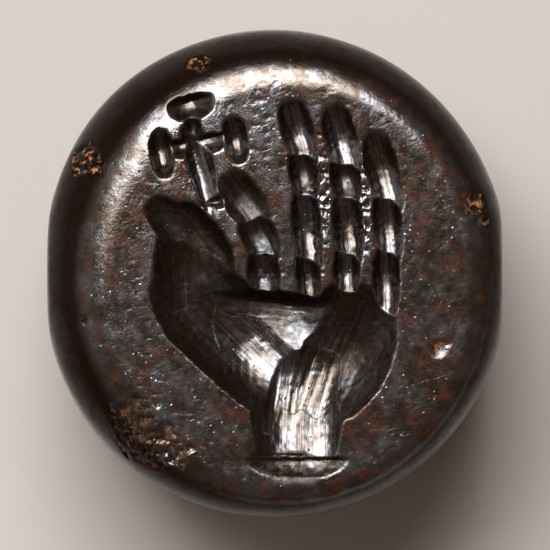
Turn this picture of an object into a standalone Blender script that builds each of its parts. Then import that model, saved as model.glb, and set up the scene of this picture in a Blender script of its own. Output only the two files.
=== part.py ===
"""Stamp seal of polished haematite, with a raised hand and a cross cut into its face.

The seal is one stone: a dome with a rounded shoulder, two ground ends and a bore between them.
It lies on the small flat of its crown, so that the engraved face looks up.
Lengths are in metres. +Z points out of the face, +Y runs up the hand, and X runs along the bore.
"""

import math
from collections import namedtuple

import bmesh
import bpy
from mathutils import Vector
from mathutils.bvhtree import BVHTree

MM = 0.001

# Size of the stone
HEIGHT = 10.6 * MM
GIRDLE_HEIGHT = 5.6 * MM
GIRDLE_WIDTH = 14.5 * MM
GIRDLE_LENGTH = 15.15 * MM
DOME_FULLNESS = 2.2
CROWN_TRIM = 0.3 * MM

# The polished face, and the shoulder that rounds over from it to the side
FACE_WIDTH = 10.7 * MM
FACE_LENGTH = 11.9 * MM
FACE_SHIFT_X = 0.5 * MM
FACE_SHIFT_Y = -0.45 * MM
SHOULDER_DROP = 2.0 * MM
SIDE_BULGE = 0.2 * MM

# How far apart the two ends are that are ground flat for the bore
LENGTH_ALONG_BORE = 13.76 * MM

# The bore, drilled from both ends with a tapering drill
BORE_HEIGHT = 5.6 * MM
BORE_MOUTH_RADIUS = 1.5 * MM
BORE_WAIST_RADIUS = 1.2 * MM
DRILL_OVERLAP = 0.3 * MM
DRILL_START = 0.5 * MM

# The engraving is drawn in steps, which are tenths of a millimetre at this height of hand and cuff
ENGRAVING_HEIGHT = 11.3 * MM
STEP = ENGRAVING_HEIGHT / 113

# Facets
STONE_SEGMENTS = 72
SHOULDER_RINGS = 8
SIDE_RINGS = 2
DOME_RINGS = 9
CUT_SEGMENTS = 20
CUT_RINGS = 12
BORE_SEGMENTS = 32

# How far a tool's shape runs on past the edge of its cut, and how high it stands above the face
TOOL_OVERSHOOT = 1.15
TOOL_CLEARANCE = 1.0 * MM

# One stroke of the cutting wheel. Its middle (x, y), length, width and depth are in steps.
# The lean is in degrees: 0 runs straight down the face, and a positive one swings its foot to the right.
# The roundness shapes it lengthwise and the squareness across: 2 is a round groove, and 4 is nearly flat.
# Its lowest place is a share of the length and of the width, so that one end or side can be steeper.
FIELDS = "x y length width depth lean roundness squareness low_along low_across"
Stroke = namedtuple("Stroke", FIELDS, defaults=(0, 2.0, 2.6, 0.5, 0.5))

CROSS = {
    "cross_top": Stroke(-25.0, 49.6, 14.4, 8.0, 3.8, 104, low_across=0.68),
    "cross_left": Stroke(-33.8, 35.8, 15.2, 7.2, 3.8, 8, low_along=0.42),
    "cross_right": Stroke(-11.6, 39.8, 14.6, 7.6, 3.8, 10, low_along=0.42),
    "cross_bar": Stroke(-23.4, 38.0, 22.0, 6.2, 3.2, 101, 3.0, 2.0, low_across=0.8),
    "cross_neck": Stroke(-24.6, 43.4, 11.0, 5.0, 3.0, 6, 2.0, 2.2),
    "cross_shaft": Stroke(-21.8, 31.6, 28.5, 8.4, 3.9, 16, 2.0, 2.2, 0.3, 0.36),
    "cross_foot": Stroke(-18.0, 21.4, 9.0, 4.4, 1.8, 96, 2.0, 2.0),
}

THUMB = {
    "thumb_tip": Stroke(-27.4, 12.6, 27.0, 11.4, 4.6, 50, 2.0, 2.4, 0.45),
    "thumb_joint": Stroke(-21.8, 10.0, 26.0, 11.6, 5.6, 38, 2.4, 2.8, 0.4),
    "thumb_ball": Stroke(-24.2, -3.0, 40.0, 23.2, 6.6, 4, 2.6, 2.6),
}

PALM = {
    "palm_floor": Stroke(-11.0, -20.0, 62.0, 28.0, 8.2, 47, 2.6, 2.8),
    "palm_hollow": Stroke(-9.0, -20.2, 64.0, 27.0, 10.1, 45, 1.6, 3.0, 0.5, 0.6),
    "palm_knuckles": Stroke(-4.0, -17.8, 50.0, 26.0, 10.0, 84, 3.0, 2.4, 0.5, 0.84),
    "palm_heel": Stroke(20.2, -24.0, 43.0, 30.0, 9.0, -24, 2.0, 2.8, 0.5, 0.4),
    "wrist": Stroke(6.2, -40.0, 44.0, 27.6, 4.8, -1, 1.8, 4.0, 0.3),
    "wrist_flank": Stroke(3.8, -35.0, 38.0, 15.4, 8.6, -9, 1.8, 5.0, 0.32, 0.45),
    "wrist_slant": Stroke(12.6, -32.6, 45.0, 18.6, 9.7, -18, 1.7, 4.6, 0.35),
    "wrist_root": Stroke(8.6, -42.1, 33.4, 24.8, 7.3, -2, 1.6, 6.0, 0.26),
}

CUFF = {
    "cuff": Stroke(6.8, -58.4, 30.6, 7.2, 3.2, 90, 2.4, 1.6, 0.5, 0.84),
    "cuff_line": Stroke(5.3, -54.8, 25.0, 3.0, 2.8, 90, 2.4, 2.4),
}

# A finger is its tip (x, y) and its joints from the tip down: pitch, width, depth and lean.
FINGERS = {
    "index": (
        (-14.8, 29.6),
        [(13.6, 11.6, 3.0, 35), (11.0, 10.6, 3.4, 25), (12.4, 9.6, 4.0, 6)],
    ),
    "middle": (
        (4.2, 52.4),
        [(14.8, 9.8, 4.2, 16), (11.6, 8.6, 4.2, 10), (18.6, 8.8, 4.6, 6), (13.4, 7.4, 4.2, 5)],
    ),
    "ring": (
        (17.4, 50.6),
        [(15.6, 10.0, 4.2, 14), (10.2, 9.0, 4.0, 9), (16.0, 9.0, 4.6, 6), (13.4, 8.2, 4.3, 1)],
    ),
    "little": (
        (29.6, 42.4),
        [(17.4, 10.0, 4.4, 14), (15.6, 8.8, 4.6, 6), (16.4, 8.4, 4.5, 0)],
    ),
}
# A joint of a finger runs on past its pitch into the joint below, which starts a little to its left
FINGER_SHIFT = 1.0
FINGER_OVERRUN = 1.5
FINGER_LOW = 0.42
FINGER_ROUNDNESS = 2.0
FINGER_SQUARENESS = 3.0

# Old chips on the shoulder: bearing from the middle in degrees, share of the way out, size and depth in steps
CHIPS = {
    "chip_low_left": (228, 0.855, 9.0, 1.6),
    "chip_lower_left": (236, 0.875, 6.0, 1.4),
    "chip_upper_left": (149, 0.885, 5.0, 0.9),
}


def clear_scene():
    """Remove every object, so that the part starts from an empty scene."""
    for old in list(bpy.data.objects):
        bpy.data.objects.remove(old)


def new_collection(name):
    """Make a collection and link it to the scene."""
    collection = bpy.data.collections.new(name)
    bpy.context.scene.collection.children.link(collection)
    return collection


def new_object(name, bm, collection):
    """Turn a bmesh into an object in the collection."""
    bm.normal_update()
    bmesh.ops.recalc_face_normals(bm, faces=bm.faces)
    mesh = bpy.data.meshes.new(name)
    bm.to_mesh(mesh)
    bm.free()
    made = bpy.data.objects.new(name, mesh)
    collection.objects.link(made)
    return made


def as_cutter(cutter):
    """Keep a cutter out of renders."""
    cutter.hide_render = True
    cutter.display_type = "WIRE"
    return cutter


def oval(width, length, angle):
    """Point of an oval about the middle, at the given angle."""
    return Vector((width / 2 * math.cos(angle), length / 2 * math.sin(angle)))


def profile_stations():
    """Stations down the stone, from the middle of the face to the middle of the crown.

    Each is (share of the face oval, share of the way from face edge to girdle, share of the girdle, height).
    """
    side_span = HEIGHT - GIRDLE_HEIGHT
    rim = (GIRDLE_LENGTH - FACE_LENGTH) / 2
    bulge = SIDE_BULGE / rim
    stations = [(0.0, 0.0, 1.0, HEIGHT), (1.0, 0.0, 1.0, HEIGHT)]
    for ring in range(1, SHOULDER_RINGS + 1):
        turn = math.pi / 2 * ring / SHOULDER_RINGS
        height = HEIGHT - SHOULDER_DROP * (1 - math.cos(turn))
        rise = (height - GIRDLE_HEIGHT) / side_span
        out = 1 - (1 - bulge) * (1 - math.sin(turn)) - bulge * rise**2
        stations.append((1.0, out, 1.0, height))
    for ring in range(1, SIDE_RINGS + 1):
        rise = (1 - SHOULDER_DROP / side_span) * (1 - ring / SIDE_RINGS)
        stations.append((1.0, 1 - bulge * rise**2, 1.0, GIRDLE_HEIGHT + side_span * rise))
    dome_depth = GIRDLE_HEIGHT + CROWN_TRIM
    last_turn = math.asin((GIRDLE_HEIGHT / dome_depth) ** (DOME_FULLNESS / 2))
    for ring in range(1, DOME_RINGS + 1):
        turn = last_turn * ring / DOME_RINGS
        spread = math.cos(turn) ** (2 / DOME_FULLNESS)
        height = GIRDLE_HEIGHT - dome_depth * math.sin(turn) ** (2 / DOME_FULLNESS)
        stations.append((1.0, 1.0, spread, height))
    stations.append((1.0, 1.0, 0.0, 0.0))
    return stations


def stone_blank(collection):
    """The uncut stone: a ball whose rings are moved onto the stations of the profile."""
    stations = profile_stations()
    bands = len(stations) - 1
    face_middle = Vector((FACE_SHIFT_X, FACE_SHIFT_Y))
    bm = bmesh.new()
    bmesh.ops.create_uvsphere(bm, u_segments=STONE_SEGMENTS, v_segments=bands, radius=1)
    for vert in bm.verts:
        band = round(math.acos(max(-1, min(1, vert.co.z))) / math.pi * bands)
        face_share, out, spread, height = stations[band]
        angle = math.atan2(vert.co.y, vert.co.x)
        on_face = face_middle + face_share * oval(FACE_WIDTH, FACE_LENGTH, angle)
        on_girdle = oval(GIRDLE_WIDTH, GIRDLE_LENGTH, angle)
        plan = on_face.lerp(on_girdle, out) * spread
        vert.co = Vector((plan.x, plan.y, height))
    return new_object("seal_stone", bm, collection)


def end_cutter(name, side, collection):
    """A block whose inner face is the plane that one end is ground to."""
    bm = bmesh.new()
    bmesh.ops.create_cube(bm, size=1)
    for vert in bm.verts:
        vert.co.x = side * LENGTH_ALONG_BORE / 2 + GIRDLE_WIDTH * (vert.co.x + side / 2)
        vert.co.y *= 2 * GIRDLE_LENGTH
        vert.co.z = HEIGHT / 2 + vert.co.z * 2 * HEIGHT
    return as_cutter(new_object(name, bm, collection))


def drill_cutter(name, side, collection):
    """One of the two drillings of the bore: a cone from outside its end to just past the middle."""
    end = LENGTH_ALONG_BORE / 2
    taper = (BORE_MOUTH_RADIUS - BORE_WAIST_RADIUS) / end
    start = end + DRILL_START
    length = start + DRILL_OVERLAP
    bm = bmesh.new()
    bmesh.ops.create_cone(
        bm,
        cap_ends=True,
        segments=BORE_SEGMENTS,
        radius1=BORE_WAIST_RADIUS - taper * DRILL_OVERLAP,
        radius2=BORE_WAIST_RADIUS + taper * start,
        depth=length,
    )
    for vert in bm.verts:
        along = vert.co.z + length / 2 - DRILL_OVERLAP
        vert.co = Vector((side * along, vert.co.y, BORE_HEIGHT + vert.co.x))
    return as_cutter(new_object(name, bm, collection))


def height_finder(stone):
    """A function that gives the height of the uncut stone's upper surface over a point (x, y)."""
    tree = BVHTree.FromPolygons(
        [vert.co for vert in stone.data.vertices],
        [face.vertices for face in stone.data.polygons],
    )

    def height_at(x, y):
        hit = tree.ray_cast(Vector((x, y, 2 * HEIGHT)), Vector((0, 0, -1)))[0]
        if hit is None:
            return GIRDLE_HEIGHT
        return hit.z

    return height_at


def directions(lean):
    """The unit vectors down and to the right of a stroke that leans by so many degrees."""
    lean = math.radians(lean)
    return Vector((math.sin(lean), -math.cos(lean))), Vector((math.cos(lean), math.sin(lean)))


def from_middle(share, low):
    """Place in a stroke, from -0.5 to 0.5, of a share that is 0 at its lowest place and runs to -1 and 1."""
    room = low if share < 0 else 1 - low
    return low - 0.5 + share * room


def wheel_cutter(name, stroke, height_at, collection):
    """The space that one stroke of the wheel clears.

    The floor follows the stone. It lies below the face by the depth times
    1 - |along|**roundness - |across|**squareness, where along and across are 0 at the lowest place
    and run to -1 and 1 at the ends and the sides.
    """
    down, right = directions(stroke.lean)
    bm = bmesh.new()
    bmesh.ops.create_uvsphere(bm, u_segments=CUT_SEGMENTS, v_segments=CUT_RINGS, radius=1)
    for vert in bm.verts:
        spread = TOOL_OVERSHOOT * math.hypot(vert.co.x, vert.co.y)
        angle = math.atan2(vert.co.y, vert.co.x)
        along = math.copysign((spread * abs(math.cos(angle))) ** (2 / stroke.roundness), math.cos(angle))
        across = math.copysign((spread * abs(math.sin(angle))) ** (2 / stroke.squareness), math.sin(angle))
        plan = Vector((stroke.x, stroke.y))
        plan += down * from_middle(along, stroke.low_along) * stroke.length
        plan += right * from_middle(across, stroke.low_across) * stroke.width
        plan *= STEP
        lift = (stroke.depth * STEP + TOOL_CLEARANCE) * max(0, vert.co.z)
        floor = height_at(plan.x, plan.y) - stroke.depth * STEP * (1 - spread**2)
        vert.co = Vector((plan.x, plan.y, floor + lift))
    return as_cutter(new_object("cut_" + name, bm, collection))


def chip_cutter(name, chip, height_at, collection):
    """A faceted lump that bites a chip out of the shoulder."""
    bearing, out, size, depth = chip
    plan = oval(GIRDLE_WIDTH, GIRDLE_LENGTH, math.radians(bearing)) * out
    radius = size * STEP / 2
    bm = bmesh.new()
    bmesh.ops.create_icosphere(bm, subdivisions=1, radius=radius)
    centre = Vector((plan.x, plan.y, height_at(plan.x, plan.y) + radius - depth * STEP))
    for vert in bm.verts:
        vert.co += centre
    return as_cutter(new_object("cut_" + name, bm, collection))


def finger_strokes(name, finger):
    """The strokes of a finger. Each starts a pitch below the one before and a little to its left."""
    tip, joints = finger
    top = Vector(tip)
    strokes = {}
    for number, (pitch, width, depth, lean) in enumerate(joints, start=1):
        down, right = directions(lean)
        length = pitch * FINGER_OVERRUN
        shape = (length, width, depth, lean, FINGER_ROUNDNESS, FINGER_SQUARENESS, FINGER_LOW)
        strokes[f"{name}_joint_{number}"] = Stroke(*(top + down * length / 2), *shape)
        top = top + down * pitch - right * FINGER_SHIFT
    return strokes


def all_strokes():
    """Every stroke of the engraving by name."""
    strokes = {**CROSS, **THUMB, **PALM, **CUFF}
    for name, finger in FINGERS.items():
        strokes.update(finger_strokes(name, finger))
    return strokes


def cut_away(stone, cutters):
    """Subtract each cutter from the stone with a Boolean."""
    for cutter in cutters:
        cut = stone.modifiers.new(cutter.name, "BOOLEAN")
        cut.operation = "DIFFERENCE"
        cut.solver = "EXACT"
        cut.object = cutter


def haematite():
    """Polished haematite: a dark grey stone with a metallic glint and a red-brown cast."""
    material = bpy.data.materials.new("haematite")
    material.use_nodes = True
    shader = material.node_tree.nodes["Principled BSDF"]
    shader.inputs["Base Color"].default_value = (0.035, 0.022, 0.018, 1)
    shader.inputs["Metallic"].default_value = 0.0
    shader.inputs["Roughness"].default_value = 0.3
    shader.inputs["IOR"].default_value = 2.9
    return material


def shade(stone):
    """Shade the stone smooth, with its crisp edges kept."""
    stone.data.shade_smooth()
    stone.data.set_sharp_from_angle(angle=math.radians(35))
    stone.data.materials.append(haematite())


def build():
    """Make the seal."""
    clear_scene()
    parts = new_collection("stamp_seal")
    tools = new_collection("cutters")
    stone = stone_blank(parts)
    height_at = height_finder(stone)
    shade(stone)
    cutters = [
        end_cutter("left_end", -1, tools),
        end_cutter("right_end", 1, tools),
        drill_cutter("left_drilling", -1, tools),
        drill_cutter("right_drilling", 1, tools),
    ]
    cutters += [wheel_cutter(name, stroke, height_at, tools) for name, stroke in all_strokes().items()]
    cutters += [chip_cutter(name, chip, height_at, tools) for name, chip in CHIPS.items()]
    cut_away(stone, cutters)


build()
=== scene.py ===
# %% [markdown]
# # A stamp seal of polished haematite
#
# The real object is one stone about as big as a fingertip: a dome with a flat face. An engraver
# held the face against small turning wheels fed with abrasive, and each touch left one boat-shaped
# hollow. A row of them makes a finger, and broad ones make the palm.
#
# The lesson builds the seal the same way. The stone is a surface of revolution that isn't quite
# round, its face is a height map, and the engraving is the deepest of many wheel cuts at each point.
# The frame holds the seal's solid from the workshop, which gives the sizes and stays for collision.

# %% Load the frame
import math

import bmesh
import bpy
import numpy as np
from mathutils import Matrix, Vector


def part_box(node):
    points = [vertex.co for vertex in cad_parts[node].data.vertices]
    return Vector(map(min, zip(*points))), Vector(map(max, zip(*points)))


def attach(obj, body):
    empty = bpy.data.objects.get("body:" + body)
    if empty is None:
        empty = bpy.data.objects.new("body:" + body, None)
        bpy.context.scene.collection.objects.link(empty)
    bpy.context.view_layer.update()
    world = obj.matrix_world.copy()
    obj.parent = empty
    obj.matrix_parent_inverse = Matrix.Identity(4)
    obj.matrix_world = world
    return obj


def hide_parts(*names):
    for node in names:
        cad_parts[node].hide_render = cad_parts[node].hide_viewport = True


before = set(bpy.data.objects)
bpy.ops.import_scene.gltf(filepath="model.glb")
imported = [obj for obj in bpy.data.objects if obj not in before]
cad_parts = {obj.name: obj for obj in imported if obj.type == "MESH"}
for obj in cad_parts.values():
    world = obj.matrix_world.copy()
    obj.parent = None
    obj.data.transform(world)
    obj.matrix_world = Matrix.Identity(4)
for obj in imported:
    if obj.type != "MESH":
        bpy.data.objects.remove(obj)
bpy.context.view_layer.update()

# %% Units and the driving sizes
MM = 0.001
NODE = "seal_stone"

low, high = (np.array(corner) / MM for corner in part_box(NODE))
HEIGHT = high[2]
END = high[0]
GIRDLE_HALF = np.array([7.25, high[1]])
print(f"height {HEIGHT:.2f} mm, half-length along the bore {END:.2f} mm, girdle {GIRDLE_HALF} mm")

# %% [markdown]
# ## The shape of the stone
#
# Seen from above, both the face and the girdle are ovals, and the face sits a little down and to
# the right of the middle. Seen from the side, the stone rounds over from the face in a quarter turn,
# swells slightly to the girdle, and closes in a dome that ends in a small flat. One profile table
# holds this: for each station it gives how far out the section lies between the two ovals, how far
# it has shrunk towards the crown, and its height. A table can be read as a whole array by np.interp,
# so no point of the surface needs a loop.

# %% Profile of the stone
FACE_CENTRE = np.array([0.5, -0.45])
FACE_HALF = np.array([5.35, 5.95])
FACE_CAMBER = 0.06
SHOULDER_DROP = 2.0
GIRDLE_HEIGHT = 5.6
SIDE_BULGE = 0.12
CROWN_TRIM = 0.3
DOME_FULLNESS = 2.2
STATIONS = 300


def profile_table():
    """The profile as columns: distance along it, share of the face, way out, spread and height.

    Face: the height falls by camber * share**2. Shoulder: a quarter turn t, with the height falling by
    drop * (1 - cos t) and the way out growing with sin t. Side: the way out is 1 - bulge * rise**2.
    Dome: a superellipse, spread**n + depth**n = 1, cut off at the crown.
    """
    step = np.linspace(0, 1, STATIONS)
    one = np.ones(STATIONS)
    edge = HEIGHT - FACE_CAMBER
    span = edge - GIRDLE_HEIGHT
    face = np.stack([step, 0 * one, one, HEIGHT - FACE_CAMBER * step**2])
    turn = step * np.pi / 2
    height = edge - SHOULDER_DROP * (1 - np.cos(turn))
    rise = (height - GIRDLE_HEIGHT) / span
    out = 1 - (1 - SIDE_BULGE) * (1 - np.sin(turn)) - SIDE_BULGE * rise**2
    shoulder = np.stack([one, out, one, height])
    rise = (1 - SHOULDER_DROP / span) * (1 - step)
    side = np.stack([one, 1 - SIDE_BULGE * rise**2, one, GIRDLE_HEIGHT + span * rise])
    turn = step * np.pi / 2
    depth = GIRDLE_HEIGHT + CROWN_TRIM
    dome_height = GIRDLE_HEIGHT - depth * np.sin(turn) ** (2 / DOME_FULLNESS)
    dome = np.stack([one, one, np.cos(turn) ** (2 / DOME_FULLNESS), dome_height])
    share, out, spread, height = np.concatenate([face, shoulder[:, 1:], side[:, 1:], dome[:, 1:]], axis=1)
    reach = spread * (share * FACE_HALF[1] + out * (GIRDLE_HALF[1] - FACE_HALF[1]))
    moved = np.hypot(np.diff(reach), np.diff(height))
    distance = np.concatenate([[0], np.cumsum(moved)])
    return distance, share, out, spread, height


PROFILE = profile_table()
FACE_DISTANCE = PROFILE[0][STATIONS - 1]
SHOULDER_DISTANCE = PROFILE[0][2 * STATIONS - 2]
PROFILE_LENGTH = PROFILE[0][-1]
print(f"profile {PROFILE_LENGTH:.2f} mm long, its face ends at {FACE_DISTANCE:.2f} mm")


def stone_point(angle, distance):
    """Point (x, y, z) of the uncut stone at an angle round it and a distance along the profile.

    The section at each station is an oval: its middle and half-axes slide from the face's to the
    girdle's with the way out, and then shrink by the spread.
    """
    share, out, spread, height = (np.interp(distance, PROFILE[0], column) for column in PROFILE[1:])
    shrink = share * spread
    x = (1 - out) * spread * FACE_CENTRE[0] + shrink * np.cos(angle) * (
        (1 - out) * FACE_HALF[0] + out * GIRDLE_HALF[0]
    )
    y = (1 - out) * spread * FACE_CENTRE[1] + shrink * np.sin(angle) * (
        (1 - out) * FACE_HALF[1] + out * GIRDLE_HALF[1]
    )
    return x, y, height


def stone_place(x, y):
    """Angle and distance along the profile of the stone's upper surface over a point (x, y).

    Inside the face the share is the length of (x, y) in units of the face's half-axes. Outside it
    the way out is found by halving an interval, until the sliding oval passes through the point.
    """
    share = np.hypot((x - FACE_CENTRE[0]) / FACE_HALF[0], (y - FACE_CENTRE[1]) / FACE_HALF[1])
    near, far = np.zeros_like(x), np.ones_like(x)
    for _ in range(30):
        out = (near + far) / 2
        beyond = oval_reach(x, y, out) > 1
        near, far = np.where(beyond, out, near), np.where(beyond, far, out)
    out = np.where(share < 1, 0, (near + far) / 2)
    top = 2 * STATIONS - 1
    face_distance = np.interp(share, PROFILE[1][:STATIONS], PROFILE[0][:STATIONS])
    rim_distance = np.interp(out, PROFILE[2][STATIONS - 1 : top], PROFILE[0][STATIONS - 1 : top])
    middle_x, middle_y = (1 - out) * FACE_CENTRE[0], (1 - out) * FACE_CENTRE[1]
    half_x = (1 - out) * FACE_HALF[0] + out * GIRDLE_HALF[0]
    half_y = (1 - out) * FACE_HALF[1] + out * GIRDLE_HALF[1]
    angle = np.arctan2((y - middle_y) / half_y, (x - middle_x) / half_x)
    return angle, np.where(share < 1, face_distance, rim_distance)


def oval_reach(x, y, out):
    """Length of (x, y) from the middle of the sliding oval, in units of its half-axes."""
    half_x = (1 - out) * FACE_HALF[0] + out * GIRDLE_HALF[0]
    half_y = (1 - out) * FACE_HALF[1] + out * GIRDLE_HALF[1]
    return np.hypot((x - (1 - out) * FACE_CENTRE[0]) / half_x, (y - (1 - out) * FACE_CENTRE[1]) / half_y)


def stone_height(x, y):
    """Height of the uncut stone's upper surface over a point (x, y)."""
    return np.interp(stone_place(x, y)[1], PROFILE[0], PROFILE[4])


# %% [markdown]
# ## Uneven ground
#
# Hand-ground stone is never even. Smooth noise gives that: random values sit on a lattice, and a
# point between them takes a smooth blend of its eight neighbours. The table of random values is
# seeded, so the stone comes out the same each time.

# %% Lattice noise
LATTICE = 64
lattice_values = np.random.default_rng(7).uniform(-1, 1, (LATTICE, LATTICE, LATTICE))


def noise(x, y, z, size):
    """Smooth noise from -1 to 1 whose bumps are about size millimetres wide.

    Along each axis the blend between two lattice values is f * f * (3 - 2 * f), where f is the
    share of the cell already crossed.
    """
    place = np.stack(np.broadcast_arrays(x, y, z)) / size
    cell = np.floor(place).astype(int)
    share = place - cell
    blend = share * share * (3 - 2 * share)
    total = 0
    for corner in np.ndindex(2, 2, 2):
        index = (cell + np.reshape(corner, (3,) + (1,) * (cell.ndim - 1))) % LATTICE
        near = [blend[axis] if corner[axis] else 1 - blend[axis] for axis in range(3)]
        total = total + lattice_values[tuple(index)] * near[0] * near[1] * near[2]
    return total


print("noise at three points:", noise(np.array([0.0, 0.3, 0.6]), 0.1, 0.2, 0.5).round(3))

# %% [markdown]
# ## The wheel cuts
#
# Each touch of the wheel is an oval hollow. In its own directions, along runs from -1 to 1 over its
# length and across from -1 to 1 over its width, and its depth is the full depth times
# 1 - |along|**roundness - |across|**squareness. A roundness near 1 gives a straight ramp, and 2 a
# rounded one. A squareness of 2 gives a round groove, and 4 a nearly flat floor with steep walls.
# The wheel could plunge at one end and run out at the other, so the lowest place is a share of the
# length and of the width. The gloss says how bright the wheel left the stone, from 0 to 1, and the
# melt how softly, in millimetres of depth, the cut runs into the ones made before it. A low gloss
# also browns a cut and dims its mirror, partly as a duller finish and partly as painted shade.
#
# All the cuts are drawn in tenths of a millimetre, from the middle of the stone. The lean is in
# degrees: 0 runs straight down the face, and a positive one swings the foot of the cut to the right.

# %% Table of strokes
from collections import namedtuple

STEP = 0.1
FIELDS = "x y length width depth lean roundness squareness low_along low_across gloss melt"
Stroke = namedtuple("Stroke", FIELDS, defaults=(0, 2.0, 2.6, 0.5, 0.5, 0.8, 0.02))

CROSS = {
    "cross_top": Stroke(-25.0, 49.6, 14.4, 8.0, 3.8, 104, low_across=0.68),
    "cross_left": Stroke(-33.8, 35.8, 15.2, 7.2, 3.8, 8, low_along=0.42),
    "cross_right": Stroke(-11.6, 39.8, 14.6, 7.6, 3.8, 10, low_along=0.42),
    "cross_bar": Stroke(-23.4, 38.0, 22.0, 6.2, 3.2, 101, 3.0, 2.0, low_across=0.8),
    "cross_neck": Stroke(-24.6, 43.4, 11.0, 5.0, 3.0, 6, 2.0, 2.2, gloss=0.3),
    "cross_shaft": Stroke(-21.8, 31.6, 28.5, 8.4, 3.9, 16, 2.0, 2.2, 0.3, 0.36),
    "cross_foot": Stroke(-18.0, 21.4, 9.0, 4.4, 1.8, 96, 2.0, 2.0),
}

THUMB = {
    "thumb_tip": Stroke(-27.4, 12.6, 27.0, 11.4, 4.6, 50, 2.0, 2.4, 0.45, gloss=0.4),
    "thumb_joint": Stroke(-21.8, 10.0, 26.0, 11.6, 5.6, 38, 2.4, 2.8, 0.4, gloss=0.42, melt=0.1),
    "thumb_ball": Stroke(-24.2, -3.0, 40.0, 23.2, 6.6, 4, 2.6, 2.6, gloss=0.15, melt=0.2),
}

PALM = {
    "palm_floor": Stroke(-11.0, -20.0, 62.0, 28.0, 8.2, 47, 2.6, 2.8, gloss=0.12, melt=0.12),
    "palm_hollow": Stroke(-9.0, -20.2, 64.0, 27.0, 10.1, 45, 1.6, 3.0, 0.5, 0.6, 0.95, 0.1),
    "palm_knuckles": Stroke(-4.0, -17.8, 50.0, 26.0, 10.0, 84, 3.0, 2.4, 0.5, 0.84, 0.45, 0.1),
    "palm_heel": Stroke(20.2, -24.0, 43.0, 30.0, 9.0, -24, 2.0, 2.8, 0.5, 0.4, 0.28, 0.12),
    "wrist": Stroke(6.2, -40.0, 44.0, 27.6, 4.8, -1, 1.8, 4.0, 0.3, 0.5, 0.12, 0.04),
    "wrist_flank": Stroke(3.8, -35.0, 38.0, 15.4, 8.6, -9, 1.8, 5.0, 0.32, 0.45, 1.0, 0.02),
    "wrist_slant": Stroke(12.6, -32.6, 45.0, 18.6, 9.7, -18, 1.7, 4.6, 0.35, 0.5, 1.0, 0.1),
    "wrist_root": Stroke(8.6, -42.1, 33.4, 24.8, 7.3, -2, 1.6, 6.0, 0.26, 0.5, 1.0, 0.1),
}

CUFF = {
    "cuff": Stroke(6.8, -58.4, 30.6, 7.2, 3.2, 90, 2.4, 1.6, 0.5, 0.84, 0.45),
    "cuff_line": Stroke(5.3, -54.8, 25.0, 3.0, 2.8, 90, 2.4, 2.4, gloss=0.6),
}

# A finger is its tip (x, y) and its joints from the tip down: pitch, width, depth, lean and gloss.
# A joint is longer than its pitch, and starts a little to the left of the one above it.
FINGERS = {
    "index": (
        (-14.8, 29.6),
        [(13.6, 11.6, 3.0, 35, 0.35), (11.0, 10.6, 3.4, 25, 0.3), (12.4, 9.6, 4.0, 6, 0.35)],
    ),
    "middle": (
        (4.2, 52.4),
        [
            (14.8, 9.8, 4.2, 16, 0.8),
            (11.6, 8.6, 4.2, 10, 0.45),
            (18.6, 8.8, 4.6, 6, 0.9),
            (13.4, 7.4, 4.2, 5, 0.8),
        ],
    ),
    "ring": (
        (17.4, 50.6),
        [
            (15.6, 10.0, 4.2, 14, 0.85),
            (10.2, 9.0, 4.0, 9, 0.35),
            (16.0, 9.0, 4.6, 6, 0.9),
            (13.4, 8.2, 4.3, 1, 0.85),
        ],
    ),
    "little": (
        (29.6, 42.4),
        [(17.4, 10.0, 4.4, 14, 0.8), (15.6, 8.8, 4.6, 6, 0.8), (16.4, 8.4, 4.5, 0, 0.95)],
    ),
}
FINGER_SHIFT = 1.0
FINGER_OVERRUN = 1.5
FINGER_LOW = 0.42
FINGER_ROUNDNESS = 2.0
FINGER_SQUARENESS = 3.0


def directions(lean):
    """The unit vectors down and to the right of a stroke that leans by so many degrees."""
    lean = math.radians(lean)
    return (math.sin(lean), -math.cos(lean)), (math.cos(lean), math.sin(lean))


def finger_strokes(name, finger):
    """The strokes of a finger. Each starts a pitch below the one before and a little to its left."""
    (x, y), joints = finger
    strokes = {}
    for number, (pitch, width, depth, lean, gloss) in enumerate(joints, start=1):
        (down_x, down_y), (right_x, right_y) = directions(lean)
        length = pitch * FINGER_OVERRUN
        place = (x + down_x * length / 2, y + down_y * length / 2)
        shape = (FINGER_ROUNDNESS, FINGER_SQUARENESS, FINGER_LOW, 0.5, gloss)
        strokes[f"{name}_joint_{number}"] = Stroke(*place, length, width, depth, lean, *shape)
        x += down_x * pitch - right_x * FINGER_SHIFT
        y += down_y * pitch - right_y * FINGER_SHIFT
    return strokes


STROKES = {**CROSS, **THUMB, **PALM, **CUFF}
for finger_name, finger_shape in FINGERS.items():
    STROKES.update(finger_strokes(finger_name, finger_shape))
print(len(STROKES), "strokes of the wheel")

# %% Depth of the engraving
EDGE_WEAR = 0.03
EDGE_WIDTH = 0.08
DEEPEST_CUT = 1.6
FACE_GLOSS = 0.7
GLOSS_MARGIN = 0.06
STROKE_OFFSET = 3.7
WOBBLE_SIZE = 0.42
WOBBLE_DEPTH = 0.009
JITTER_SIZE = 0.13
JITTER = 0.022
JITTER_LAYERS = (0.3, 7.7)
MARK_WIDTH = 0.11
MARK_LENGTH = 1.6
MARK_DEPTH = 0.009


def share_from_lowest(place, size, low):
    """Place along a stroke: -1 at its one end, 0 at its lowest, and 1 at the other end."""
    lowest = (low - 0.5) * size
    room = np.where(place < lowest, low * size, (1 - low) * size)
    return (place - lowest) / room


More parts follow.
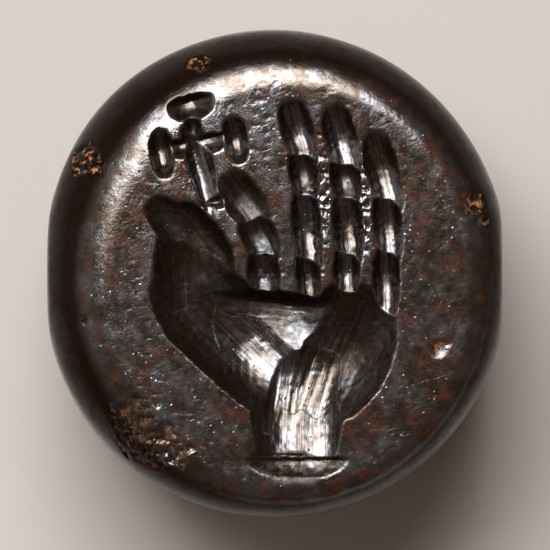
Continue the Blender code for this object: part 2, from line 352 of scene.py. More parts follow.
def stroke_depth(x, y, stroke):
    """Depth of one stroke over points (x, y), with the places along and across it in millimetres.

    depth * (1 - |along|**roundness - |across|**squareness), and below zero outside the stroke.
    """
    down, right = directions(stroke.lean)
    away_x, away_y = x - stroke.x * STEP, y - stroke.y * STEP
    along = away_x * down[0] + away_y * down[1]
    across = away_x * right[0] + away_y * right[1]
    down_share = share_from_lowest(along, stroke.length * STEP, stroke.low_along)
    side_share = share_from_lowest(across, stroke.width * STEP, stroke.low_across)
    fall = np.abs(down_share) ** stroke.roundness + np.abs(side_share) ** stroke.squareness
    return stroke.depth * STEP * (1 - fall), along, across


def engraving(x, y):
    """Depth of the engraving, the place in the stroke that made it, how far inside it is, and its gloss.

    Strokes melt into each other: of two depths a and b the result is
    (a + b + sqrt((a - b)**2 + melt**2)) / 2, which is the greater one with a rounded ridge. The rim
    of a cut is blended into the face in the same way. The gloss changes over from one stroke to the
    next where their depths are within the melt. Fine wheel marks run along each stroke, the floor
    wobbles, and the outline is a little unsteady.
    """
    jitter_x, jitter_y = (JITTER * noise(x, y, layer, JITTER_SIZE) for layer in JITTER_LAYERS)
    x, y = x + jitter_x, y + jitter_y
    deepest = np.full(np.shape(x), -1.0)
    place = np.zeros((3,) + np.shape(x))
    gloss = np.full(np.shape(x), FACE_GLOSS)
    for number, stroke in enumerate(STROKES.values(), start=1):
        depth, along, across = stroke_depth(x, y, stroke)
        wins = depth > deepest
        share = np.clip(0.5 + (depth - deepest) / (2 * stroke.melt), 0, 1)
        deepest = (deepest + depth + np.sqrt((deepest - depth) ** 2 + stroke.melt**2)) / 2
        place = np.where(wins, np.stack([along, across, np.full(np.shape(x), number)]), place)
        gloss = np.where(depth > -GLOSS_MARGIN, gloss + (stroke.gloss - gloss) * share, gloss)
    layer = place[2] * STROKE_OFFSET
    marks = MARK_DEPTH * noise(place[1], place[0] * MARK_WIDTH / MARK_LENGTH, layer, MARK_WIDTH)
    wobble = WOBBLE_DEPTH * noise(x, y, layer, WOBBLE_SIZE)
    cut = (deepest + np.sqrt(deepest**2 + EDGE_WEAR**2)) / 2
    inside = np.clip(deepest / EDGE_WIDTH, 0, 1)
    return cut + (marks + wobble) * inside, place, inside, gloss


# %% [markdown]
# ## Damage
#
# The stone is old. Small pits are scattered over it, flakes are gone from the shoulder, the lower
# left of the face is scaly, and the lands between the fingers are bruised where the tool chattered.
# Each kind is a depth that the surface sinks by, so damage only ever takes stone away. A fresh flake
# is dusted with orange powder, and an old one hardly is.

# %% Chips, scales, chatter and pits
Flake = namedtuple("Flake", "x y radius depth powder", defaults=(0.9,))
FLAKES = [
    Flake(-22.5, 63.0, 2.4, 0.7),
    Flake(-57.5, 35.0, 3.4, 0.7),
    Flake(-53.5, 31.0, 2.2, 0.6),
    Flake(-59.0, 31.5, 1.6, 0.5),
    Flake(-57.0, -14.5, 1.6, 0.5),
    Flake(59.5, 21.0, 3.2, 0.8),
    Flake(63.0, 15.5, 1.4, 0.6),
    Flake(49.0, -22.5, 1.8, 0.6),
    Flake(-43.0, -42.0, 6.0, 0.35, 0.2),
    Flake(-39.0, -46.5, 5.0, 0.4, 0.2),
    Flake(-33.5, -50.0, 5.5, 0.4, 0.2),
    Flake(-36.0, -55.0, 4.5, 0.5, 0.2),
    Flake(-29.0, -54.0, 3.5, 0.35, 0.2),
    Flake(-44.5, -49.0, 3.5, 0.4, 0.2),
]
FLAKE_EDGE = 3.0
RAGGED = ((0.35, 0.5), (0.14, 0.3))  # size and strength
FLAKE_GRAIN = 0.2
FLAKE_UNEVEN = 0.4
CHATTER = [(13.6, 20.4, 3.0, 26.0), (26.6, 21.9, 2.8, 22.0), (-2.0, 2.0, 5.0, 6.0)]  # x, y, half-sizes
CHATTER_EDGE = 1.6
CHATTER_GRAIN = 0.1
CHATTER_COARSE_GRAIN = 0.23
CHATTER_STRETCH = 0.6
CHATTER_DEPTH = 0.045
PITS = ((0.13, 0.5, 0.018), (0.247, 0.58, 0.024))  # size, level and depth
FACE_UNEVEN_SIZE = 1.6
FACE_UNEVEN = 0.012


def flakes(x, y, z):
    """Depth of the flakes and their share of powder: a flat floor with a steep edge in a ragged circle.

    The depth is times edge * (1 - r**2), held between 0 and 1. r is the distance from the flake's
    middle in radii, stretched and squeezed by noise.
    """
    deepest, powder = np.zeros_like(x), np.zeros_like(x)
    ragged = 1 + sum(strength * noise(x, y, z, size) for size, strength in RAGGED)
    for flake in FLAKES:
        r = np.hypot(x - flake.x * STEP, y - flake.y * STEP) / (flake.radius * STEP) * ragged
        floor = np.where(z > GIRDLE_HEIGHT, np.clip(FLAKE_EDGE * (1 - r**2), 0, 1), 0)
        deepest += flake.depth * STEP * floor
        powder = np.maximum(powder, flake.powder * floor)
    return deepest * (1 + FLAKE_UNEVEN * noise(x, y, z, FLAKE_GRAIN)), powder


def chatter_depth(x, y, z):
    """Bruises on the lands between the fingers: sharp noise inside soft upright ovals."""
    mask = np.zeros_like(x)
    for middle_x, middle_y, half_x, half_y in CHATTER:
        r = np.hypot((x / STEP - middle_x) / half_x, (y / STEP - middle_y) / half_y)
        mask = np.maximum(mask, np.clip(CHATTER_EDGE * (1 - r), 0, 1))
    fine = noise(x, y * CHATTER_STRETCH, z, CHATTER_GRAIN)
    coarse = noise(x, y, z, CHATTER_COARSE_GRAIN)
    return CHATTER_DEPTH * mask * np.abs(4 * fine * coarse) * (z > HEIGHT - DEEPEST_CUT)


def pit_depth(x, y, z):
    """Pits all over: of a fine and a coarse noise, only the tops above a level reach into the stone."""
    return sum(depth * np.clip(noise(x, y, z, size) - level, 0, 1) for size, level, depth in PITS)


def damage(x, y, z):
    """All the damage together, in millimetres along the inward normal."""
    uneven = FACE_UNEVEN * (1 + noise(x, y, z, FACE_UNEVEN_SIZE)) / 2
    return flakes(x, y, z)[0] + chatter_depth(x, y, z) + pit_depth(x, y, z) + uneven


print(len(FLAKES), "flakes and", len(CHATTER), "bruised lands")

# %% [markdown]
# ## The mesh of the stone
#
# The engraving needs a fine mesh and the dome doesn't. So the middle of the face is a grid of small
# quads, pressed from a square towards an oval, and the rest is rings that start at the edge of this
# grid, run out over the shoulder and close under the dome. Where the stone gets plainer, a ring has
# half as many points as the one above it.

# %% The fine grid of the face
GRID_CENTRE = np.array([-0.1, -0.3])
GRID_HALF = np.array([4.2, 6.2])
GRID_COUNT = (200, 296)
GRID_ROUNDING = 0.3


def face_grid():
    """Points of the fine grid, for u and v from -1 to 1.

    x is u * sqrt(1 - k * v**2) and y is v * sqrt(1 - k * u**2), times the grid's half-sizes.
    """
    u, v = np.meshgrid(*(np.linspace(-1, 1, count + 1) for count in GRID_COUNT), indexing="ij")
    x = GRID_CENTRE[0] + GRID_HALF[0] * u * np.sqrt(1 - GRID_ROUNDING * v**2)
    y = GRID_CENTRE[1] + GRID_HALF[1] * v * np.sqrt(1 - GRID_ROUNDING * u**2)
    return x, y


def grid_quads(columns, rows):
    """Corner numbers of the quads of a grid whose points are numbered along the second index first."""
    i, j = np.meshgrid(np.arange(columns), np.arange(rows), indexing="ij")
    first = (i * (rows + 1) + j).ravel()
    return np.stack([first, first + rows + 1, first + rows + 2, first + 1], axis=1)


def grid_edge(columns, rows):
    """Numbers of the grid's edge points, once round counterclockwise from the corner at -1, -1."""
    number = np.arange((columns + 1) * (rows + 1)).reshape(columns + 1, rows + 1)
    return np.concatenate([number[:-1, 0], number[-1, :-1], number[:0:-1, -1], number[0, :0:-1]])


grid_x, grid_y = face_grid()
edge_points = grid_edge(*GRID_COUNT)
print(grid_x.size, "points in the grid,", edge_points.size, "on its edge")

# %% Rings from the grid's edge to the crown
SHOULDER_RING_COUNT = 38
DOME_RING_COUNT = 58
OUTLINE_WAVE = 0.045
OUTLINE_WAVE_SIZE = 5.0
OUTLINE_WAVE_REACH = 3.0
END_ROUNDING = 0.12
CROWN_ROUNDING = 0.12


def soft_limit(value, limit, width):
    """The value, held under the limit, with a rounded corner from limit - width to limit + width."""
    corner = value - (value - limit + width) ** 2 / (4 * width)
    return np.where(value < limit - width, value, np.where(value > limit + width, limit, corner))


def ground_ends(x, z):
    """The two ends ground flat across the bore, and the crown ground flat at height 0."""
    return np.sign(x) * soft_limit(np.abs(x), END, END_ROUNDING), -soft_limit(-z, 0, CROWN_ROUNDING)


def hand_ground(x, y, z):
    """The outline pulled in by long waves, more so away from the middle, as hand grinding leaves it."""
    wave = OUTLINE_WAVE * (1 + noise(x, y, z, OUTLINE_WAVE_SIZE)) / 2
    pull = 1 - wave * np.clip((HEIGHT - z) / OUTLINE_WAVE_REACH, 0, 1)
    return x * pull, y * pull


def ring_points(angle, distance):
    """Points of the rings: the uncut stone, hand-ground, with its ends and crown ground flat."""
    x, y, z = stone_point(*np.broadcast_arrays(angle, distance))
    x, y = hand_ground(x, y, z)
    x, z = ground_ends(x, z)
    return np.stack([x, y, z], axis=-1).reshape(-1, 3)


edge_angle, edge_distance = stone_place(grid_x.ravel()[edge_points], grid_y.ravel()[edge_points])
shoulder_angle, shoulder_start = edge_angle[::2], edge_distance[::2]
way = np.linspace(0, 1, SHOULDER_RING_COUNT + 1)[1:, None]
shoulder_points = ring_points(shoulder_angle, shoulder_start + (SHOULDER_DISTANCE - shoulder_start) * way)
dome_angle = shoulder_angle[::2]
way = np.linspace(0, 1, DOME_RING_COUNT + 2)[1:-1, None]
dome_distance = SHOULDER_DISTANCE + (PROFILE_LENGTH - SHOULDER_DISTANCE) * way
dome_points = ring_points(dome_angle, dome_distance)
print(len(shoulder_points), "points on the shoulder,", len(dome_points), "on the side and dome")

# %% Faces between rings
def ring_quads(first, columns, rings):
    """Quads between rings of equally many points, numbered ring after ring from the first point."""
    i, j = np.meshgrid(np.arange(rings - 1), np.arange(columns), indexing="ij")
    here = first + i * columns + j
    beside = first + i * columns + (j + 1) % columns
    return np.stack([here, here + columns, beside + columns, beside], axis=-1).reshape(-1, 4)


def halving_triangles(upper, lower):
    """Triangles from a ring to one with half as many points: three for each point of the lower one."""
    count = len(lower)
    here, between, beside = upper[0::2], upper[1::2], np.roll(upper[0::2], -1)
    below, below_next = lower, np.roll(lower, -1)
    left = np.stack([here, below, between], axis=1)
    middle = np.stack([between, below, below_next], axis=1)
    right = np.stack([between, below_next, beside], axis=1)
    print("a ring of", 2 * count, "points narrows to", count)
    return np.concatenate([left, middle, right])


shoulder_first = grid_x.size
dome_first = shoulder_first + len(shoulder_points)
crown = dome_first + len(dome_points)
shoulder_ring = shoulder_first + np.arange(len(shoulder_angle))
last_shoulder_ring = dome_first - len(shoulder_angle) + np.arange(len(shoulder_angle))
dome_ring = dome_first + np.arange(len(dome_angle))
last_ring = crown - len(dome_angle) + np.arange(len(dome_angle))

quads = np.concatenate(
    [
        grid_quads(*GRID_COUNT),
        ring_quads(shoulder_first, len(shoulder_angle), SHOULDER_RING_COUNT),
        ring_quads(dome_first, len(dome_angle), DOME_RING_COUNT),
    ]
)
triangles = np.concatenate(
    [
        halving_triangles(edge_points, shoulder_ring),
        halving_triangles(last_shoulder_ring, dome_ring),
        np.stack([last_ring, np.full_like(last_ring, crown), np.roll(last_ring, -1)], axis=1),
    ]
)
print(len(quads), "quads and", len(triangles), "triangles")

# %% Cut the engraving and the damage into the points
depth = engraving(grid_x, grid_y)[0]
grid_z = stone_height(grid_x, grid_y) - depth
hand_x, hand_y = hand_ground(grid_x, grid_y, stone_height(grid_x, grid_y))
grid_points = np.stack([hand_x, hand_y, grid_z], axis=-1).reshape(-1, 3)
points = np.concatenate([grid_points, shoulder_points, dome_points, [[0.0, 0.0, 0.0]]])


def point_normals(points, quads, triangles):
    """Outward normals at the points: the faces' area vectors are summed at their corners."""
    normals = np.zeros_like(points)
    for faces, ends in ((quads, (0, 2, 1, 3)), (triangles, (0, 1, 0, 2))):
        corners = [points[faces[:, end]] for end in ends]
        area = np.cross(corners[1] - corners[0], corners[3] - corners[2])
        for corner in range(faces.shape[1]):
            np.add.at(normals, faces[:, corner], area)
    return normals / np.linalg.norm(normals, axis=1, keepdims=True)


GROUND_MARGIN = 0.01
GROUND_DAMAGE = 0.3
normals = point_normals(points, quads, triangles)
ground_flat = (np.abs(points[:, 0]) > END - GROUND_MARGIN) | (points[:, 2] < GROUND_MARGIN)
sunk = np.where(ground_flat, GROUND_DAMAGE, 1.0) * damage(*points.T)
points -= normals * sunk[:, None]
print(f"deepest place of the engraving {depth.max():.2f} mm, of the damage {sunk.max():.2f} mm")

# %% Put the points into a mesh
def mesh_object(name, points, quads, triangles):
    """A mesh object from points in millimetres and two arrays of corner numbers."""
    mesh = bpy.data.meshes.new(name)
    mesh.vertices.add(len(points))
    mesh.vertices.foreach_set("co", (np.asarray(points) * MM).ravel())
    corners = np.concatenate([quads.ravel(), triangles.ravel()])
    sizes = np.concatenate([np.full(len(quads), 4), np.full(len(triangles), 3)])
    mesh.loops.add(len(corners))
    mesh.loops.foreach_set("vertex_index", corners)
    mesh.polygons.add(len(sizes))
    mesh.polygons.foreach_set("loop_start", np.concatenate([[0], np.cumsum(sizes)[:-1]]))
    mesh.update(calc_edges=True)
    mesh.validate()
    piece = bpy.data.objects.new(name, mesh)
    bpy.context.scene.collection.objects.link(piece)
    return piece


seal = mesh_object("haematite_seal", points, quads, triangles)
print(len(seal.data.vertices), "points and", len(seal.data.polygons), "faces")

# %% [markdown]
# ## The bore
#
# The seal was worn on a cord through a hole along its shorter side. A bow drill with loose abrasive
# made it from both ends, so each half narrows inwards, has faint rings, and the two halves meet a
# little askew. The drill is a turned surface here too: a radius worked out along its length, carried
# round by an angle. A Boolean takes it out of the stone.

# %% Drill the bore
BORE_HEIGHT = 5.6
BORE_MOUTH_RADIUS = 1.5
BORE_WAIST_RADIUS = 1.2
BORE_SKEW = 0.06
BORE_RING_DEPTH = 0.012
BORE_RING_SIZE = 0.3
BORE_COLUMNS = 56
BORE_RINGS = 41
BORE_OVERSHOOT = 0.4


def drill_points():
    """Rings of the drill: the radius grows with |x| from the waist to the mouth, over fine rings."""
    x = np.linspace(-END - BORE_OVERSHOOT, END + BORE_OVERSHOOT, BORE_RINGS)[:, None]
    angle = np.linspace(0, 2 * np.pi, BORE_COLUMNS, endpoint=False)[None, :]
    radius = BORE_WAIST_RADIUS + (BORE_MOUTH_RADIUS - BORE_WAIST_RADIUS) * np.abs(x) / END
    rings = BORE_RING_DEPTH * (1 + noise(x, 0.0, 0.0, BORE_RING_SIZE))
    radius = radius - rings * (1 + 0.3 * np.sin(angle + x))
    x = x + 0 * angle
    y = radius * np.cos(angle) + BORE_SKEW * np.sign(x)
    z = BORE_HEIGHT + radius * np.sin(angle)
    return np.stack([x, y, z], axis=-1).reshape(-1, 3)


def cap_fan(ring, middle):
    """Triangles that close a ring of points with a point in its middle."""
    return np.stack([ring, np.roll(ring, -1), np.full_like(ring, middle)], axis=1)


drill_shape = drill_points()
drill_side = ring_quads(0, BORE_COLUMNS, BORE_RINGS)
caps = np.array([[sign * (END + BORE_OVERSHOOT), 0, BORE_HEIGHT] for sign in (-1, 1)])
first_ring = np.arange(BORE_COLUMNS)
last_ring = len(drill_shape) - BORE_COLUMNS + first_ring
first_cap = cap_fan(first_ring, len(drill_shape))[:, ::-1]
last_cap = cap_fan(last_ring, len(drill_shape) + 1)
drill_ends = np.concatenate([first_cap, last_cap])
drill = mesh_object("drill", np.concatenate([drill_shape, caps]), drill_side, drill_ends)

shape = bmesh.new()
shape.from_mesh(drill.data)
bmesh.ops.recalc_face_normals(shape, faces=shape.faces)
shape.to_mesh(drill.data)
shape.free()

cut = seal.modifiers.new("bore", "BOOLEAN")
cut.operation = "DIFFERENCE"
cut.object = drill
cut.solver = "EXACT"
with bpy.context.temp_override(object=seal, active_object=seal):
    bpy.ops.object.modifier_apply(modifier=cut.name)
bpy.data.objects.remove(drill)
print(len(seal.data.vertices), "points after drilling")

# %% Close and count the drilled mesh
shape = bmesh.new()
shape.from_mesh(seal.data)
bmesh.ops.triangulate(shape, faces=[face for face in shape.faces if len(face.verts) > 4])
open_edges = sum(not edge.is_manifold for edge in shape.edges)
triangle_count = sum(len(face.verts) - 2 for face in shape.faces)
volume = shape.calc_volume() / MM**3
shape.to_mesh(seal.data)
shape.free()
seal.data.shade_smooth()
print(f"{triangle_count} triangles, {open_edges} open edges, {volume:.0f} cubic mm")

# %% [markdown]
# ## What each point remembers
#
# The finish follows the way the stone was made, so every point of the mesh keeps a few facts as
# attributes: how far inside a wheel cut it is, how bright the wheel left it, its place along and
# across that cut, how far out on the rim it lies, how much damage sank it, how much powder lies
# there, and how sharply the surface bends. Stone polishes bright on what sticks out. Where it bends
# inwards the colour is darkened, as painted shade in the creases with some dirt.

# %% Attributes of the finished surface
BEND_SCALE = 0.004
FULL_DAMAGE = 0.06
STROKE_SPACING = 5
RIM_START = 0.28
RIM_END = 0.5
SIDE_START = 8.6
DOME_START = 3.0
# Share of the rim's brown and painted shade that is left low on the dome.
DOME_BROWN_AND_SHADE = 0.6


def mesh_points(piece):
    """The points of a piece as an array in millimetres."""
    flat = np.zeros(3 * len(piece.data.vertices))
    piece.data.vertices.foreach_get("co", flat)
    return flat.reshape(-1, 3) / MM


def mesh_bend(piece, points):
    """Bend at each point: how far it stands out from the mean of its neighbours, along its normal."""
    ends = np.zeros(2 * len(piece.data.edges), dtype=int)
    piece.data.edges.foreach_get("vertices", ends)
    ends = ends.reshape(-1, 2)
    total, count = np.zeros_like(points), np.zeros(len(points))
    for here, there in ((0, 1), (1, 0)):
        np.add.at(total, ends[:, here], points[ends[:, there]])
        np.add.at(count, ends[:, here], 1)
    normals = np.zeros(3 * len(points))
    piece.data.vertex_normals.foreach_get("vector", normals)
    stands_out = points - total / count[:, None]
    return np.clip(np.sum(stands_out * normals.reshape(-1, 3), axis=1) / BEND_SCALE, -1, 1)


def keep(piece, name, kind, values):
    """Store values as a point attribute of the piece."""
    field = "vector" if kind == "FLOAT_VECTOR" else "value"
    attribute = piece.data.attributes.new(name, kind, "POINT")
    attribute.data.foreach_set(field, np.asarray(values, dtype=np.float32).ravel())
    print(name, "from", round(float(np.min(values)), 2), "to", round(float(np.max(values)), 2))


finished = mesh_points(seal)
x, y, z = finished.T
_, place, inside, gloss = engraving(x, y)
on_top = z > HEIGHT - DEEPEST_CUT
keep(seal, "wheel_cut", "FLOAT", inside * on_top)
keep(seal, "polish_and_shade", "FLOAT", np.where(on_top, gloss, FACE_GLOSS))
keep(seal, "wheel_place", "FLOAT_VECTOR", (place * [[1], [1], [STROKE_SPACING]] * on_top).T)
# The rim share darkens the body and nearly removes the mirror: partly a duller brown rim, partly painted
# shade that keeps the pale floor from being mirrored there. It is strongest high on the side and weaker
# low on the dome.
way_out = np.interp(stone_place(x, y)[1], PROFILE[0], PROFILE[2])
rim = np.where(z > GIRDLE_HEIGHT, np.clip((way_out - RIM_START) / (RIM_END - RIM_START), 0, 1), 1)
rim = rim * np.interp(z, (DOME_START, SIDE_START), (DOME_BROWN_AND_SHADE, 1))
keep(seal, "rim", "FLOAT", rim)
flake_depth, powder = flakes(x, y, z)
keep(seal, "damage", "FLOAT", np.clip((flake_depth + chatter_depth(x, y, z)) / FULL_DAMAGE, 0, 1))
keep(seal, "powder", "FLOAT", powder)
keep(seal, "bend", "FLOAT", mesh_bend(seal, finished))

# %% [markdown]
# ## Polished haematite
#
# Haematite is iron oxide. It bends light very strongly, with an index of 2.9, so a polished face
# mirrors a quarter of the light and looks like dark metal. It isn't one: the mirror keeps the
# colour of the light, and the body under it is nearly black. Where the stone is ground fine,
# weathered or chipped, the mirror fades and a red-brown body shows, because its powder is red. So
# the colours here are those of the body, and a second value says how strong the mirror is. Both
# wander by a millimetre or two. Dull cuts are browner than the face, partly from a duller finish and
# partly as painted shade. The rim is the darkest, partly a duller brown and partly painted shade
# with its mirror nearly gone. Inward bends and the grooves of the wheel marks are darkened too, as
# painted shade with some dirt.

# %% Helpers for colours and nodes
def srgb(code):
    """A hex colour such as #847B73 as the linear colour that a shader takes."""
    shares = np.array([int(code[start : start + 2], 16) / 255 for start in (1, 3, 5)])
    linear = np.where(shares <= 0.04045, shares / 12.92, ((shares + 0.055) / 1.055) ** 2.4)
    return linear.tolist() + [1]


def per_mm(size):
    """The scale of a noise whose features are about size millimetres wide."""
    return 1 / (size * MM)


def add(tree, kind, links=(), inputs=(), **settings):
    """Add a node, with its properties, the values of its inputs and the sockets linked into it."""
    node = tree.nodes.new("ShaderNode" + kind)
    for name, value in settings.items():
        setattr(node, name, value)
    for name, value in dict(inputs).items():
        node.inputs[name].default_value = value
    for name, socket in dict(links).items():
        tree.links.new(socket, node.inputs[name])
    return node


def new_material(name):
    """An empty node material with its Principled shader linked to the output."""
    material = bpy.data.materials.new(name)
    material.use_nodes = True
    tree = material.node_tree
    tree.nodes.clear()
    shader = add(tree, "BsdfPrincipled")
    add(tree, "OutputMaterial", {"Surface": shader.outputs["BSDF"]})
    return material, tree, shader


# %% Colours, sizes and helpers of the pattern
GREY_BODY = srgb("#17130F")
BLUE_BODY = srgb("#14151A")
RUST = srgb("#4C281C")
# Body colour of dull cuts: partly a duller finish, partly painted shade.
DULL_AND_SHADE_BROWN = srgb("#1A0F09")
# Body colour of the rim: partly a duller brown, partly painted shade.
RIM_BROWN_AND_SHADE = srgb("#180E09")
CHIP_ORANGE = srgb("#B87F56")
SPECK_BROWN = srgb("#7A4A30")
# Near-black for inward bends and the grooves of the wheel marks: painted shade with some dirt.
DIRT_AND_SHADE = srgb("#0C0806")
WARM_MIRROR = srgb("#EADACD")
COOL_MIRROR = srgb("#F2F4FA")
MOTTLE_SIZE = 1.3
RUST_SIZE = 0.45
WORN_SIZE = 0.16
SPECK_SIZE = 0.11
CHIP_GRAIN = 0.2
MARK_PITCH = 0.08
MARK_STRETCH = 0.03
HAEMATITE_INDEX = 2.9

haematite, tree, shader = new_material("polished_haematite")
coordinates = add(tree, "TexCoord").outputs["Object"]


def stone_noise(size, detail=4.0, roughness=0.55, vector=coordinates):
    """Noise with features of a size in millimetres, as a socket from 0 to 1."""
    inputs = {"Scale": per_mm(size), "Detail": detail, "Roughness": roughness}
    return add(tree, "TexNoise", {"Vector": vector}, inputs).outputs["Fac"]


def stretch(socket, low, high, to_low=0.0, to_high=1.0):
    """A value mapped from one range to another with a smooth start and end."""
    inputs = {"From Min": low, "From Max": high, "To Min": to_low, "To Max": to_high}
    node = add(tree, "MapRange", {"Value": socket}, inputs, interpolation_type="SMOOTHSTEP")
    return node.outputs["Result"]


def math_of(operation, first, second):
    """Two values joined by an operation, each a socket or a number."""
    node = add(tree, "Math", operation=operation)
    for place, value in enumerate((first, second)):
        if isinstance(value, (int, float)):
            node.inputs[place].default_value = value
        else:
            tree.links.new(value, node.inputs[place])
    return node.outputs[0]


def blend_colour(share, first, second):
    """The first colour turning into the second by a share from 0 to 1."""
    node = add(tree, "Mix", {"Factor": share}, data_type="RGBA")
    for name, value in (("A", first), ("B", second)):
        colours = (socket for socket in node.inputs if socket.type == "RGBA")
        socket = next(socket for socket in colours if socket.name == name)
        if isinstance(value, list):
            socket.default_value = value
        else:
            tree.links.new(value, socket)
    return next(socket for socket in node.outputs if socket.type == "RGBA")


def remembered(name):
    """A point attribute as a socket."""
    return add(tree, "Attribute", attribute_name=name).outputs["Fac"]


def rest_of(share, amount=1.0):
    """What is left of 1 after an amount of a share is taken away."""
    return math_of("SUBTRACT", 1.0, math_of("MULTIPLY", share, amount))


print("empty material", haematite.name)

# %% Colour of the body
cut_share = remembered("wheel_cut")
damage_share = remembered("damage")
rim_brown_and_shade_share = remembered("rim")
polish_and_shade = remembered("polish_and_shade")
bend = remembered("bend")

mottle = stretch(stone_noise(MOTTLE_SIZE, 6.0, 0.65), 0.42, 0.6)
colour = blend_colour(mottle, GREY_BODY, BLUE_BODY)
tree.links.new(blend_colour(mottle, WARM_MIRROR, COOL_MIRROR), shader.inputs["Specular Tint"])
rust_share = stretch(stone_noise(RUST_SIZE, 7.0, 0.68), 0.47, 0.64, 0.0, 0.85)
rust_share = math_of("MULTIPLY", rust_share, stretch(cut_share, 0.0, 1.0, 1.0, 0.4))
colour = blend_colour(rust_share, colour, RUST)
wear = stretch(stone_noise(WORN_SIZE, 5.0), 0.3, 0.7, -0.15, 0.15)
# A low gloss, set per stroke, browns the body and fades the mirror: partly a duller finish, partly
# painted shade, as in the deep thumb cuts. It also roughens the surface.
dullness_and_shade = math_of("SUBTRACT", 1.0, math_of("ADD", polish_and_shade, wear))
dull_and_shade_share = stretch(dullness_and_shade, 0.1, 0.95, 0.0, 0.95)
colour = blend_colour(dull_and_shade_share, colour, DULL_AND_SHADE_BROWN)
# Painted shade on the rim, over a duller brown rim.
rim_brown_and_shade_amount = math_of("MULTIPLY", rim_brown_and_shade_share, 0.95)
colour = blend_colour(rim_brown_and_shade_amount, colour, RIM_BROWN_AND_SHADE)
speck_share = stretch(stone_noise(SPECK_SIZE, 4.0, 0.7), 0.64, 0.78, 0.0, 0.8)
speck_share = math_of("MULTIPLY", speck_share, rest_of(rim_brown_and_shade_share))
colour = blend_colour(speck_share, colour, SPECK_BROWN)
crumbs = stretch(stone_noise(CHIP_GRAIN, 5.0), 0.5, 0.62)
chip_share = math_of("MULTIPLY", remembered("powder"), crumbs)
colour = blend_colour(chip_share, colour, CHIP_ORANGE)
# Where the surface bends inwards the colour darkens and the mirror fades: painted shade in creases and
# hollows, with some dirt.
crease_shade_and_dirt = stretch(bend, -0.15, -0.9, 0.0, 0.6)
colour = blend_colour(crease_shade_and_dirt, colour, DIRT_AND_SHADE)

wheel_place = add(tree, "Attribute", attribute_name="wheel_place").outputs["Vector"]
stretched = {"Scale": (MARK_STRETCH, 1.0, 1.0)}
along_marks = add(tree, "Mapping", {"Vector": wheel_place}, stretched).outputs["Vector"]
mark_inputs = {"Scale": 1 / MARK_PITCH, "Detail": 3.0, "Roughness": 0.7}
marks = add(tree, "TexNoise", {"Vector": along_marks}, mark_inputs).outputs["Fac"]
# In the troughs of the wheel marks the colour darkens and the mirror fades: painted shade in the grooves,
# with some dirt.
mark_strength = math_of("MULTIPLY", cut_share, stretch(polish_and_shade, 0.0, 1.0, 0.4, 1.0))
mark_shade_and_dirt = math_of("MULTIPLY", stretch(marks, 0.36, 0.56, 0.9, 0.0), mark_strength)
colour = blend_colour(mark_shade_and_dirt, colour, DIRT_AND_SHADE)
tree.links.new(colour, shader.inputs["Base Color"])
print("colour set on", haematite.name)

# %% Strength of the mirror
# An IOR level of 0.5 is the full mirror of the stone's index. Each share below takes some of it;
# the dull, rim, bend and mark shares take it partly as painted shade.
mirror = stretch(mottle, 0.0, 1.0, 0.36, 0.54)
for share, amount in (
    (rust_share, 0.4),
    (cut_share, 0.2),
    (dull_and_shade_share, 0.8),
    (rim_brown_and_shade_share, 0.95),
    (chip_share, 0.3),
    (crease_shade_and_dirt, 0.9),
    (mark_shade_and_dirt, 0.75),
):
    mirror = math_of("MULTIPLY", mirror, rest_of(share, amount))
tree.links.new(mirror, shader.inputs["Specular IOR Level"])
shader.inputs["IOR"].default_value = HAEMATITE_INDEX
print("index", HAEMATITE_INDEX)

# %% Roughness, grain, speckle, hairlines and wheel marks
GRAIN_SIZE = 0.28
GRAIN_HEIGHT = 0.003
SPECKLE_SIZE = 0.065
SPECKLE_HEIGHT = 0.006
SPARKLE_CELL = 0.2
SPARKLE_RADIUS = 0.22
SPARKLE_SPREAD = 0.4
SPARKLE_DEPTH = 0.012
HAIRLINE_WIDTH = 0.04
HAIRLINE_LENGTH = 1.6
HAIRLINE_DEPTH = 0.0008
MARK_HEIGHT = 0.006

roughness = stretch(stone_noise(GRAIN_SIZE, 6.0, 0.6), 0.3, 0.7, 0.11, 0.23)
roughness = math_of("ADD", roughness, stretch(dullness_and_shade, 0.3, 0.9, 0.0, 0.16))
roughness = math_of("ADD", roughness, math_of("MULTIPLY", cut_share, 0.05))
roughness = math_of("ADD", roughness, math_of("MULTIPLY", damage_share, 0.1))
tree.links.new(roughness, shader.inputs["Roughness"])


def hairlines(turn):
    """Noise drawn out into thin lines that run at an angle across the face."""
    longer = HAIRLINE_LENGTH / HAIRLINE_WIDTH
    inputs = {"Rotation": (0, 0, math.radians(turn)), "Scale": (longer, 1.0, 1.0)}
    node = add(tree, "Mapping", {"Vector": coordinates}, inputs, vector_type="TEXTURE")
    return stretch(stone_noise(HAIRLINE_WIDTH, 2.0, vector=node.outputs["Vector"]), 0.64, 0.76)


def raise_surface(height, socket, normal=None):
    """A bump of a height in millimetres, over the bump before it."""
    links = {"Height": socket} | ({"Normal": normal} if normal else {})
    return add(tree, "Bump", links, {"Strength": 1.0, "Distance": height * MM}).outputs["Normal"]


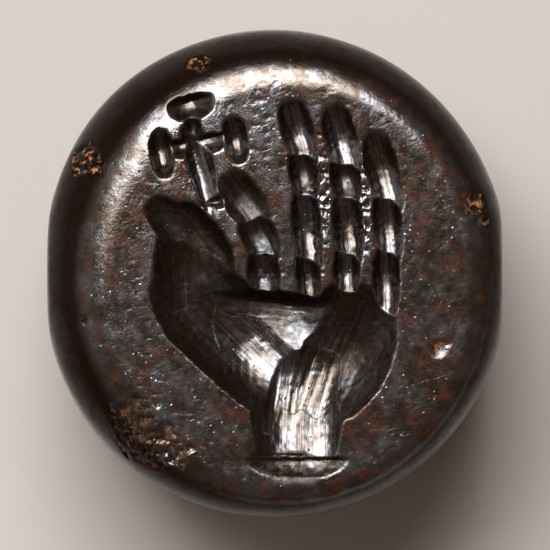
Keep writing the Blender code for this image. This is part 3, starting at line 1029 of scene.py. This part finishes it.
normal = raise_surface(GRAIN_HEIGHT, stone_noise(GRAIN_SIZE, 3.0))
smooth_share = stretch(cut_share, 0.0, 1.0, 1.0, 0.35)
speckle = math_of("MULTIPLY", stone_noise(SPECKLE_SIZE, 3.0, 0.7), smooth_share)
normal = raise_surface(SPECKLE_HEIGHT, speckle, normal)
cells = {"Scale": per_mm(SPARKLE_CELL), "Randomness": 1.0}
cell_distance = add(tree, "TexVoronoi", {"Vector": coordinates}, cells).outputs["Distance"]
sparkle = stretch(cell_distance, 0.0, SPARKLE_RADIUS, 1.0, 0.0)
sparkle = math_of("MULTIPLY", sparkle, stretch(stone_noise(SPARKLE_SPREAD, 3.0), 0.45, 0.65))
normal = raise_surface(-SPARKLE_DEPTH, sparkle, normal)
for turn in (20, -38, 64, 102):
    normal = raise_surface(-HAIRLINE_DEPTH, hairlines(turn), normal)
normal = raise_surface(MARK_HEIGHT, math_of("MULTIPLY", marks, cut_share), normal)
tree.links.new(normal, shader.inputs["Normal"])
seal.data.materials.clear()
seal.data.materials.append(haematite)
print(len(tree.nodes), "nodes in", haematite.name)

# %% [markdown]
# ## Floor, light and camera
#
# Haematite shows what it mirrors, so the light is most of the look. One soft box stands high at the
# top of the picture and a little to its left. Where the stone turns towards it, the face lights up,
# and a faint second box lifts the left side. The rest mirrors a dim warm room. The camera looks
# straight down on the lying seal, from as far away as a long lens would need, so the sides hardly
# show.

# %% Floor
FLOOR_SIZE = 3.0

bpy.ops.mesh.primitive_plane_add(size=FLOOR_SIZE)
floor = bpy.context.object
floor.name = "studio_floor"
paper, tree, shader = new_material("pale_paper")
shader.inputs["Base Color"].default_value = srgb("#CFCAC4")
shader.inputs["Roughness"].default_value = 0.9
floor.data.materials.append(paper)
print("floor", FLOOR_SIZE, "m wide")

# %% Lights
LIGHT_DISTANCE = 0.4
ROOM_COLOUR = srgb("#857468")
ROOM_STRENGTH = 0.46
face_middle = np.array([FACE_CENTRE[0], FACE_CENTRE[1], HEIGHT]) * MM


def soft_box(name, azimuth, tilt, half_width, half_height, radiance, colour):
    """A square light that faces the seal from an azimuth and a tilt away from straight up, in degrees.

    Its half-width and half-height are the angles that it fills. A light that sends power P from an
    area A has the radiance P / (pi * A).
    """
    azimuth, tilt = math.radians(azimuth), math.radians(tilt)
    direction = (math.sin(tilt) * math.cos(azimuth), math.sin(tilt) * math.sin(azimuth), math.cos(tilt))
    data = bpy.data.lights.new(name, "AREA")
    data.shape = "RECTANGLE"
    data.size = 2 * LIGHT_DISTANCE * math.tan(math.radians(half_width))
    data.size_y = 2 * LIGHT_DISTANCE * math.tan(math.radians(half_height))
    data.energy = radiance * math.pi * data.size * data.size_y
    data.color = srgb(colour)[:3]
    light = bpy.data.objects.new(name, data)
    light.location = face_middle + LIGHT_DISTANCE * np.array(direction)
    light.rotation_euler = (tilt, 0, azimuth + math.pi / 2)
    bpy.context.scene.collection.objects.link(light)
    print(f"{name}: {data.size * 1000:.0f} x {data.size_y * 1000:.0f} mm, {data.energy:.1f} W")


soft_box("soft_box_top", 109, 30, 18, 15, 11.5, "#FFFCFA")
soft_box("soft_box_left", 170, 60, 24, 20, 0.4, "#FFFAF4")

bpy.context.scene.view_settings.view_transform = "Standard"
world = bpy.data.worlds.new("dim_room")
world.use_nodes = True
room = next(node for node in world.node_tree.nodes if node.type == "BACKGROUND")
room.inputs["Color"].default_value = ROOM_COLOUR
room.inputs["Strength"].default_value = ROOM_STRENGTH
bpy.context.scene.world = world

# %% Camera
LENS = 500
SENSOR = 36
FRAME_WIDTH = 16.5
FRAME_MIDDLE = np.array([0.015, -0.06])

camera_data = bpy.data.cameras.new("camera")
camera_data.lens = LENS
camera_data.sensor_width = SENSOR
camera_distance = FRAME_WIDTH * LENS / SENSOR
camera = bpy.data.objects.new("camera", camera_data)
camera.location = np.array([FRAME_MIDDLE[0], FRAME_MIDDLE[1], HEIGHT + camera_distance]) * MM
bpy.context.scene.collection.objects.link(camera)
bpy.context.scene.camera = camera
print(f"camera {camera_distance:.0f} mm above the face")

# %% Tie the seal to the frame and finish
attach(seal, "root")
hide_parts(NODE)
